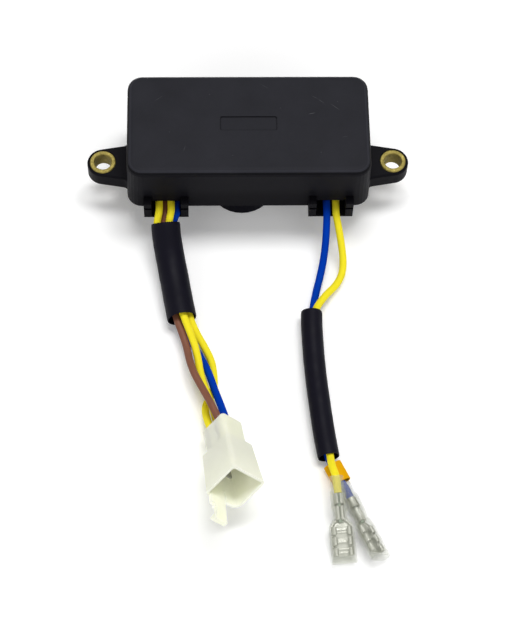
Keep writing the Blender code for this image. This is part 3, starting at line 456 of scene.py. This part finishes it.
# Routes, millimetres, from the point under the middle of each guide at the front wall. Each wire
# runs from its socket in the resin, with heights above the case's rim while inside, then down to
# its tube, beside the tube's middle line, and after it to its far end.
LEFT_TUBE_ROUTE = (
    (-0.3, -7.3, 11.8), (0.1, -11.3, 10.1), (1.1, -17.3, 7.6), (2.5, -24.9, 6.0), (4.1, -34.4, 5.6),
    (5.7, -43.5, 5.6),
)
RIGHT_TUBE_ROUTE = (
    (-7.8, -40.5, 4.0), (-7.9, -46.9, 4.0), (-7.5, -57.9, 4.0), (-6.9, -67.5, 4.0),
    (-6.0, -76.9, 4.0), (-4.7, -88.9, 4.0), (-3.4, -97.7, 4.0),
)
LEFT_WIRES = {
    "wire_left_yellow_a": dict(
        inside=((-2.6, 8.5, 8.5), (-2.6, 8.5, 7.2), (-2.6, 7.8, 4.6), (-2.6, 5.8, 2.7), (-2.6, 3.1, 2.1),
                (-2.6, 0.6, 2.1), (-2.6, -3.3, 2.1)),
        beside=((-3.1, 0.9), (-2.8, 1.6), (-1.8, 1.9), (-1.0, 2.1), (0.0, 2.2), (0.7, 2.2)),
        after=((8.3, -48.5, 6.6), (10.2, -53.9, 5.6), (11.4, -59.0, 5.0), (12.2, -64.1, 5.1),
               (13.4, -68.9, 4.6), (15.0, -73.6, 4.7), (16.7, -78.3, 3.9), (19.01, -88.32, 3.34),
               (19.60, -92.32, 5.31)),
        colour="yellow"),
    "wire_left_brown": dict(
        inside=((-0.4, 10.7, 8.5), (-0.4, 10.7, 5.4), (-0.4, 10.0, 2.7), (-0.4, 8.0, 0.6),
                (-0.4, 5.3, -0.1), (-0.4, 0.6, 0.0), (-0.4, -3.3, 0.0)),
        beside=((-0.6, -0.9), (-1.1, -1.1), (-1.7, -1.1), (-2.0, -0.8), (-2.1, -0.4), (-1.8, -0.1)),
        after=((5.7, -49.0, 5.2), (7.3, -54.3, 4.8), (8.4, -60.0, 5.8), (9.9, -65.3, 6.8),
               (12.2, -70.4, 7.3), (14.2, -74.6, 7.9), (16.2, -79.3, 9.3), (18.88, -85.51, 9.07),
               (19.48, -89.51, 11.04)),
        colour="brown"),
    "wire_left_yellow_b": dict(
        inside=((1.8, 8.5, 8.5), (1.8, 8.5, 7.2), (1.8, 7.8, 4.6), (1.8, 5.8, 2.7), (1.8, 3.1, 2.1),
                (1.8, 0.6, 2.1), (1.8, -3.3, 2.1)),
        beside=((1.3, 1.7), (1.1, 1.1), (1.2, 1.6), (2.0, 1.2), (2.6, 0.4), (3.0, -0.1)),
        after=((11.0, -48.5, 3.9), (13.7, -53.3, 2.7), (16.2, -58.5, 1.4), (17.1, -63.9, 1.6),
               (17.2, -68.4, 1.4), (16.0, -72.7, 1.6), (14.2, -76.6, 1.5), (14.2, -80.0, 2.5),
               (15.82, -87.50, 5.95), (16.42, -91.50, 7.92)),
        colour="yellow"),
    "wire_left_blue": dict(
        inside=((3.9, 10.7, 8.5), (3.9, 10.7, 5.4), (3.9, 10.0, 2.7), (3.9, 8.0, 0.6),
                (3.9, 5.3, -0.1), (3.9, 0.6, 0.0), (3.7, -3.3, 0.0)),
        beside=((2.9, -1.0), (2.8, -1.3), (1.6, -1.6), (1.2, -1.9), (1.0, -2.3), (0.8, -2.6)),
        after=((8.2, -48.5, 1.7), (10.5, -53.6, 1.7), (12.9, -58.4, 1.9), (14.7, -63.0, 3.6),
               (16.2, -67.5, 4.5), (17.6, -72.2, 4.9), (19.1, -76.6, 5.4), (22.07, -86.32, 6.45),
               (22.66, -90.32, 8.43)),
        colour="blue"),
}
RIGHT_WIRES = {
    "wire_right_blue": dict(
        inside=((-1.4, 9.7, 8.5), (-1.4, 9.7, 5.5), (-1.4, 9.0, 3.0), (-1.4, 7.0, 0.9),
                (-1.4, 4.3, 0.2), (-1.4, 0.6, 0.2), (-1.4, -3.5, 0.0)),
        down=((-1.6, -8.3, 9.9), (-2.0, -13.5, 7.0), (-2.8, -18.9, 4.2), (-4.0, -24.3, 2.5),
              (-5.5, -30.1, 1.8), (-6.7, -35.7, 1.9)),
        beside=((0.4, -1.7), (0.4, -1.7), (0.1, -1.6), (-0.2, -1.5), (-0.3, -1.5), (-0.2, -1.5),
                (0.1, -1.5)),
        after=((-2.1, -100.2, 2.15), (-0.9, -103.4, 2.15), (0.5, -106.0, 2.2), (1.9, -108.3, 2.68),
               (3.85, -113.02, 3.22)),
        colour="blue"),
    "wire_right_yellow": dict(
        inside=((2.0, 9.7, 8.5), (2.0, 9.7, 5.5), (2.0, 9.0, 3.0), (2.0, 7.0, 0.9), (2.0, 4.3, 0.2),
                (2.0, 0.6, 0.2), (2.0, -3.5, 0.0)),
        down=((2.9, -8.7, 10.3), (3.9, -13.9, 7.1), (4.5, -19.3, 4.2), (3.9, -24.1, 2.9),
              (1.7, -28.5, 2.8), (-1.9, -32.8, 3.6), (-4.7, -36.8, 4.4)),
        beside=((1.4, 1.2), (1.4, 1.2), (1.2, 1.3), (0.9, 1.5), (0.7, 1.5), (0.5, 1.5), (0.4, 1.5)),
        after=((-2.6, -102.3, 7.6), (-1.5, -106.8, 8.7), (-0.86, -112.57, 7.53)),
        colour="yellow"),
}


def wire_route(wire, tube_route, guide):
    """A wire's own points and its places beside the tube's middle line, in metres."""
    inside = [(x, y, z + RIM_HEIGHT) for x, y, z in wire["inside"]]
    beside = []
    for index, (point, (across, up)) in enumerate(zip(tube_route, wire["beside"])):
        one = Vector(tube_route[max(index - 1, 0)])
        two = Vector(tube_route[min(index + 1, len(tube_route) - 1)])
        right, above = across_and_up((two - one).normalized())
        beside.append(Vector(point) + right * across + above * up)
    points = (*inside, *wire.get("down", ()), *beside, *wire["after"])
    return [guide + Vector(point) * MM for point in points]


def make_wire(name, wire, tube_route, guide, finishes):
    """Round insulation along a wire's route, with the route's points and length."""
    points = smooth_curve(wire_route(wire, tube_route, guide), WIRE_STEP)
    curve = bpy.data.curves.new(name + "_insulation", "CURVE")
    curve.dimensions = "3D"
    spline = curve.splines.new("POLY")
    spline.points.add(len(points) - 1)
    for knot, point in zip(spline.points, points):
        knot.co = (*point, 1.0)
    curve.bevel_depth = WIRE_RADIUS
    curve.bevel_resolution = WIRE_BEVEL_RESOLUTION
    curve.use_fill_caps = True
    obj = add_object(name + "_insulation", curve)
    dress(obj, "wire_" + wire["colour"], finishes)
    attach(obj, "root")
    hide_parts(name)
    length = sum((two - one).length for one, two in zip(points, points[1:]))
    return obj, points, length


TUBE_SIDES = 48
TUBE_STEP = 0.8 * MM
TUBE_LIP = 0.12 * MM
# the ripple's broad swells and shorter folds: how strong, and how fast they change round the tube
# and from ring to ring
SWELL, SWELL_AROUND, SWELL_ALONG = 1.6, 1.2, 0.09
FOLD, FOLD_AROUND, FOLD_ALONG = 0.7, 0.8, 0.35
SWELL_SEED, FOLD_SEED = 900, 7


def make_tube(name, route, guide, radius, finishes, sag, ripple):
    """Soft tube along a route, a little out of round, with faint wrinkles and softened cut ends."""
    path = smooth_curve([guide + Vector(point) * MM for point in route], TUBE_STEP)
    total = len(path) - 1
    outer_rings, inner_rings = [], []
    for index, point in enumerate(path):
        along = (path[min(index + 1, total)] - path[max(index - 1, 0)]).normalized()
        right, up = across_and_up(along)
        lip = TUBE_LIP if index in (0, total) else 0.0
        for rings, size in ((outer_rings, radius - lip), (inner_rings, radius - SLEEVE_WALL + lip)):
            ring = []
            for side in range(TUBE_SIDES):
                angle = 2 * math.pi * side / TUBE_SIDES
                c, s = math.cos(angle), math.sin(angle)
                swell = noise.noise(Vector((c * SWELL_AROUND, s * SWELL_AROUND,
                                            index * SWELL_ALONG + radius * SWELL_SEED)))
                fold = noise.noise(Vector((c * FOLD_AROUND, s * FOLD_AROUND, index * FOLD_ALONG + FOLD_SEED)))
                r = size * (1 - sag) + ripple * (swell * SWELL + fold * FOLD)
                ring.append(point + right * (r * c * (1 + sag)) + up * (r * s))
            rings.append(ring)
    obj = mesh_object(name + "_soft", loft(outer_rings + inner_rings[::-1], closed=True), smooth=50.0)
    dress(obj, "sleeve_black", finishes)
    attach(obj, "root")
    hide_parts(name)
    return obj


# Push-on terminals: the frame's places and sizes, with rounder folds, crimps, ribs and strands

STRIP = 0.4 * MM
BARREL_CURL = 1.5 * MM
BARREL_LENGTH = 9.2 * MM
NECK_LENGTH = 2.2 * MM
RECEPTACLE_LENGTH = 10.6 * MM
RECEPTACLE_FLAT = 2.55 * MM
RECEPTACLE_CURL = 0.9 * MM
ROLLS = 3
ROLL_GAP = 0.5 * MM
TERMINAL_IN_SLEEVE = 6.2 * MM
TERMINALS = (
    # where the clear sleeve starts, yaw, pitch, roll
    ((-1.3 * MM, -106.8 * MM, 8.7 * MM), 4.4, -11.4, 0.0),
    ((1.6 * MM, -107.6 * MM, 2.6 * MM), 22.5, 6.0, 47.0),
)
RIB_SHARE = 0.6  # of the flat middle's width
RIB_HEIGHT = 0.10 * MM
RIB_HALF = 0.22 * MM
RIBS = (1.3 * MM, 2.2 * MM, 5.6 * MM, 8.0 * MM, 9.4 * MM)
ARC_STEPS, TAIL_STEPS = 12, 8
LIP = 0.25 * MM
SEAM = 0.2 * MM
WIRE_GRIP_SHARE = 0.42  # of the barrel, the rest holds the bare strands
STRAND_RADIUS = 0.16 * MM
STRAND_SIDES = 6
STRAND_STEPS = 24
STRAND_RINGS = ((0.34, 6), (0.68, 12))  # radius in millimetres and number of strands
STRANDS_BEFORE = 0.6 * MM
STRANDS_PAST = 0.7 * MM
STRANDS_BELOW = 0.35  # millimetres, where the bundle lies under the barrel's middle
STRAND_ENDS = 0.5 * MM  # how far the cut ends differ
STRAND_SEED = 1.7
SQUEEZE = 0.25  # of the bundle's width, halfway along
WANDER, WANDER_ALONG = 0.10, 180  # how far a strand wanders, in millimetres, and how fast
STRAY, STRAY_FROM, STRAY_REACH = 0.25, 0.92, 0.08  # the last share of it strays further


def place(yaw, pitch, roll, at):
    """Frame whose z runs forward (-Y) turned by yaw, lifted by pitch and rolled about itself."""
    a, p, r = (math.radians(angle) for angle in (yaw, pitch, roll))
    right = Vector((math.cos(a), math.sin(a), 0.0))
    along = Vector((math.sin(a) * math.cos(p), -math.cos(a) * math.cos(p), math.sin(p)))
    up = along.cross(right)
    x_axis = math.cos(r) * right - math.sin(r) * up
    y_axis = math.sin(r) * right + math.cos(r) * up
    return Matrix.Translation(at) @ Matrix((x_axis, y_axis, along)).transposed().to_4x4()


def fold_section(flat, curl, turn, tail_curl, tail_turn, lift, z):
    """Folded strip across: a flat middle, raised in a rib, and edges that curl up, then tighter."""
    half_line = [(0.0, lift, 0.0, 1.0), (RIB_SHARE * flat, lift, 0.0, 1.0), (flat, 0.0, 0.0, 1.0)]
    turn, tail_turn = math.radians(turn), math.radians(tail_turn)
    for step in range(1, ARC_STEPS + 1):
        a = turn * step / ARC_STEPS
        half_line.append((flat + curl * math.sin(a), curl * (1 - math.cos(a)), -math.sin(a), math.cos(a)))
    x, y, nx, ny = half_line[-1]
    for step in range(1, TAIL_STEPS + 1):
        a = turn + tail_turn * step / TAIL_STEPS
        mx, my = -math.sin(a), math.cos(a)
        half_line.append((x + tail_curl * (nx - mx), y + tail_curl * (ny - my), mx, my))
    line = [(-x, y, -nx, ny) for x, y, nx, ny in reversed(half_line[1:])] + half_line
    half = STRIP / 2
    outer = [(x - nx * half, y - ny * half - curl, z) for x, y, nx, ny in line]
    inner = [(x + nx * half, y + ny * half - curl, z) for x, y, nx, ny in line]
    return outer + inner[::-1]


def terminal_stations():
    """Sections from the wire's side to the mouth: (flat, curl, turn, tail curl, tail turn, lift, z)."""
    grip = BARREL_CURL
    crimp = 0.8 * BARREL_CURL
    tail = 0.3 * grip
    start = TERMINAL_IN_SLEEVE
    grip_end = start + WIRE_GRIP_SHARE * BARREL_LENGTH
    barrel_end = start + BARREL_LENGTH
    mouth = barrel_end + NECK_LENGTH
    stations = [
        # the grip round the insulation
        (SEAM, 1.05 * grip, 160, grip, 12, 0, start),
        (SEAM, grip, 160, grip, 14, 0, start + LIP),
        (SEAM, grip, 160, grip, 14, 0, grip_end - 2 * LIP),
        (SEAM, 1.05 * grip, 160, grip, 12, 0, grip_end - LIP),
        # the open step between it and the crimp
        (1.5 * SEAM, 0.85 * grip, 80, grip, 5, 0, grip_end),
        (1.5 * SEAM, 0.85 * grip, 80, grip, 5, 0, grip_end + LIP),
        # the crimp on the strands
        (SEAM, 1.06 * crimp, 135, tail, 140, 0, grip_end + 2 * LIP),
        (SEAM, crimp, 140, tail, 150, 0, grip_end + 4 * LIP),
        (SEAM, crimp, 140, tail, 150, 0, barrel_end - 2 * LIP),
        (SEAM, 1.06 * crimp, 135, tail, 140, 0, barrel_end),
        # the neck
        (2 * SEAM, crimp, 80, crimp, 5, 0, barrel_end + LIP),
        (0.6 * RECEPTACLE_FLAT, 1.2 * RECEPTACLE_CURL, 80, RECEPTACLE_CURL, 5, 0,
         barrel_end + 0.45 * NECK_LENGTH),
    ]
    roll_length = (RECEPTACLE_LENGTH - (ROLLS - 1) * ROLL_GAP) / ROLLS
    ends = [mouth + 0.25 * LIP]
    for number in range(ROLLS):
        roll_start = mouth + number * (roll_length + ROLL_GAP)
        ends += [roll_start + LIP, roll_start + roll_length - LIP]
        if number < ROLLS - 1:
            ends += [roll_start + roll_length, roll_start + roll_length + ROLL_GAP]
    heights = sorted({*ends, *(mouth + rib + side * RIB_HALF for rib in RIBS for side in (-1, 0, 1))})
    for z in heights:
        along = (z - mouth) % (roll_length + ROLL_GAP)
        rolled = LIP / 2 < along < roll_length - LIP / 2
        on_rib = any(abs(z - mouth - rib) < RIB_HALF / 2 for rib in RIBS)
        turn, tail_turn = (170, 75) if rolled else (90, 10)
        stations.append((RECEPTACLE_FLAT, RECEPTACLE_CURL, turn, 0.75 * RECEPTACLE_CURL, tail_turn,
                         RIB_HEIGHT if on_rib else 0.0, z))
    return stations


def strand_bundle(frame_matrix, seed):
    """The wire's bare strands, from the cut insulation through both crimps to just past them."""
    bm = bmesh.new()
    first = TERMINAL_IN_SLEEVE - STRANDS_BEFORE
    last = TERMINAL_IN_SLEEVE + BARREL_LENGTH + STRANDS_PAST
    places = [(0.0, 0.0)]
    for ring, count in STRAND_RINGS:
        places += [(ring * math.cos(2 * math.pi * i / count), ring * math.sin(2 * math.pi * i / count))
                   for i in range(count)]
    for number, (x, y) in enumerate(places):
        end = last + STRAND_ENDS * noise.noise(Vector((number * STRAND_SEED, seed, 0.0)))
        rings = []
        for step in range(STRAND_STEPS + 1):
            share = step / STRAND_STEPS
            z = first + (end - first) * share
            squeeze = 1.0 - SQUEEZE * math.sin(math.pi * share)
            stray = STRAY * max(0.0, share - STRAY_FROM) / STRAY_REACH
            bend = Vector((noise.noise(Vector((number, seed, z * WANDER_ALONG))),
                           noise.noise(Vector((seed, number, z * WANDER_ALONG))), 0.0))
            shift = bend * (WANDER + stray) * MM
            middle = Vector((x * squeeze * MM, (y * squeeze - STRANDS_BELOW) * MM, z)) + shift
            rings.append([middle + STRAND_RADIUS * Vector((math.cos(a), math.sin(a), 0.0))
                          for a in (2 * math.pi * i / STRAND_SIDES for i in range(STRAND_SIDES))])
        rows = [[bm.verts.new(frame_matrix @ point) for point in ring] for ring in rings]
        for lower, upper in zip(rows, rows[1:]):
            for i in range(STRAND_SIDES):
                j = (i + 1) % STRAND_SIDES
                bm.faces.new((lower[i], lower[j], upper[j], upper[i]))
        bm.faces.new(reversed(rows[0]))
        bm.faces.new(rows[-1])
    return bm


def make_terminals(finishes):
    """Both folded terminals, each with its strands and the name of its clear sleeve."""
    pieces = {}
    for number, (start, yaw, pitch, roll) in enumerate(TERMINALS, start=1):
        matrix = place(yaw, pitch, roll, RIGHT_GUIDE + Vector(start))
        rings = [[matrix @ Vector(point) for point in fold_section(*station)]
                 for station in terminal_stations()]
        strip = mesh_object(f"terminal_{number}_folded", loft(rings), smooth=40.0)
        dress(strip, "tin", finishes)
        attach(strip, "root")
        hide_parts(f"terminal_{number}")
        strands = mesh_object(f"terminal_{number}_strands", strand_bundle(matrix, number * 3.1), smooth=60.0)
        dress(strands, "tin", finishes, "strands")
        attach(strands, "root")
        pieces[f"terminal_{number}"] = (strip, strands, f"terminal_sleeve_{number}")
    return pieces


def make_leads(finishes):
    terminals = make_terminals(finishes)
    tubes = {
        "sleeve_left": make_tube("sleeve_left", LEFT_TUBE_ROUTE, LEFT_GUIDE, LEFT_SLEEVE_RADIUS,
                                 finishes, sag=0.03, ripple=0.05 * MM),
        "sleeve_right": make_tube("sleeve_right", RIGHT_TUBE_ROUTE, RIGHT_GUIDE, RIGHT_SLEEVE_RADIUS,
                                  finishes, sag=0.02, ripple=0.035 * MM),
    }
    for name, wire in LEFT_WIRES.items():
        obj, points, length = make_wire(name, wire, LEFT_TUBE_ROUTE, LEFT_GUIDE, finishes)
    for name, wire in RIGHT_WIRES.items():
        obj, points, length = make_wire(name, wire, RIGHT_TUBE_ROUTE, RIGHT_GUIDE, finishes)


def dress_frame(finishes):
    """Finish the frame's own nodes, apart from those that scene pieces replace."""
    for part in frame["record"]["subparts"]:
        obj = NODES[part["node"]]
        if part["node"].startswith(("wire_", "sleeve_", "terminal_1", "terminal_2")):
            continue
        dress(obj, part["material_slot"], finishes)


# Studio

SEEING_RAYS = ("Is Camera Ray", "Is Glossy Ray", "Is Transmission Ray")
FLOOR_HALF = 3.0
FLOOR_WHITE = (0.96, 0.96, 0.96)
FLOOR_GLOW = 0.13
WORLD_SEEN, WORLD_LIGHT = 0.74, 0.26  # what seeing rays add, and what lights the object
# one wide soft box overhead, a little behind: three even discs side by side
KEYS_ACROSS = (-0.10, 0.11, 0.32)
KEYS_BEHIND, KEYS_ABOVE = 0.26, 0.94
KEY_WIDTH = 18.0  # degrees
KEY_STRENGTH = 0.70
FILLS = {"fill_left": (-0.55, -0.70, 0.40), "fill_right": (0.55, -0.70, 0.45)}
FILL_TARGET = (0.0, -0.06, 0.0)
FILL_SIZE = 0.6
FILL_WATTS = 2.0


def seen_share(tree, rays, strength, base=0.0):
    """Strength that only the named kinds of ray see, over a base that every ray sees."""
    path = tree.nodes.new("ShaderNodeLightPath")
    total = path.outputs[rays[0]]
    for ray in rays[1:]:
        either = tree.nodes.new("ShaderNodeMath")
        either.operation = "MAXIMUM"
        tree.links.new(total, either.inputs[0])
        tree.links.new(path.outputs[ray], either.inputs[1])
        total = either.outputs["Value"]
    share = tree.nodes.new("ShaderNodeMath")
    share.operation = "MULTIPLY_ADD"
    share.inputs[1].default_value = strength
    share.inputs[2].default_value = base
    tree.links.new(total, share.inputs[0])
    return share.outputs["Value"]


def make_floor():
    bm = bmesh.new()
    bmesh.ops.create_grid(bm, x_segments=1, y_segments=1, size=FLOOR_HALF)
    obj = mesh_object("studio_floor", bm)
    material = new_material("floor_white", FLOOR_WHITE, 0.9, Specular_IOR_Level=0.0)
    tree = material.node_tree
    glow = add_node(material, "ShaderNodeEmission")
    link(material, seen_share(tree, SEEING_RAYS, FLOOR_GLOW), glow.inputs["Strength"])
    both = add_node(material, "ShaderNodeAddShader")
    link(material, shader_of(material).outputs["BSDF"], both.inputs[0])
    link(material, glow.outputs["Emission"], both.inputs[1])
    link(material, both.outputs["Shader"], tree.nodes["Material Output"].inputs["Surface"])
    obj.data.materials.append(material)


def turned_to(direction):
    return direction.to_track_quat("-Z", "Y").to_euler()


def area_light(name, at, target, size, watts):
    data = bpy.data.lights.new(name, "AREA")
    data.shape = "SQUARE"
    data.size = size
    data.energy = watts
    obj = add_object(name, data)
    obj.location = at
    obj.rotation_euler = turned_to(Vector(target) - Vector(at))


def soft_sun(name, direction, width, strength):
    """Even soft light from far away: the direction it comes from and how wide it looks, in degrees."""
    data = bpy.data.lights.new(name, "SUN")
    data.angle = math.radians(width)
    data.energy = strength
    obj = add_object(name, data)
    obj.rotation_euler = turned_to(-Vector(direction))


def make_studio():
    make_floor()
    world = bpy.data.worlds.new("studio")
    bpy.context.scene.world = world
    world.use_nodes = True
    background = world.node_tree.nodes["Background"]
    background.inputs["Color"].default_value = (1.0, 1.0, 1.0, 1.0)
    tree = world.node_tree
    strength = seen_share(tree, SEEING_RAYS, WORLD_SEEN, WORLD_LIGHT)
    tree.links.new(strength, background.inputs["Strength"])
    for number, across in enumerate(KEYS_ACROSS, start=1):
        soft_sun(f"key_above_{number}", (across, KEYS_BEHIND, KEYS_ABOVE), KEY_WIDTH, KEY_STRENGTH)
    for name, at in FILLS.items():
        area_light(name, at, FILL_TARGET, FILL_SIZE, FILL_WATTS)


def main():
    make_camera()
    finishes = make_materials()
    dress_frame(finishes)
    make_leads(finishes)
    make_studio()
    bpy.context.scene.view_settings.view_transform = "Standard"


main()
bpy.context.view_layer.update()
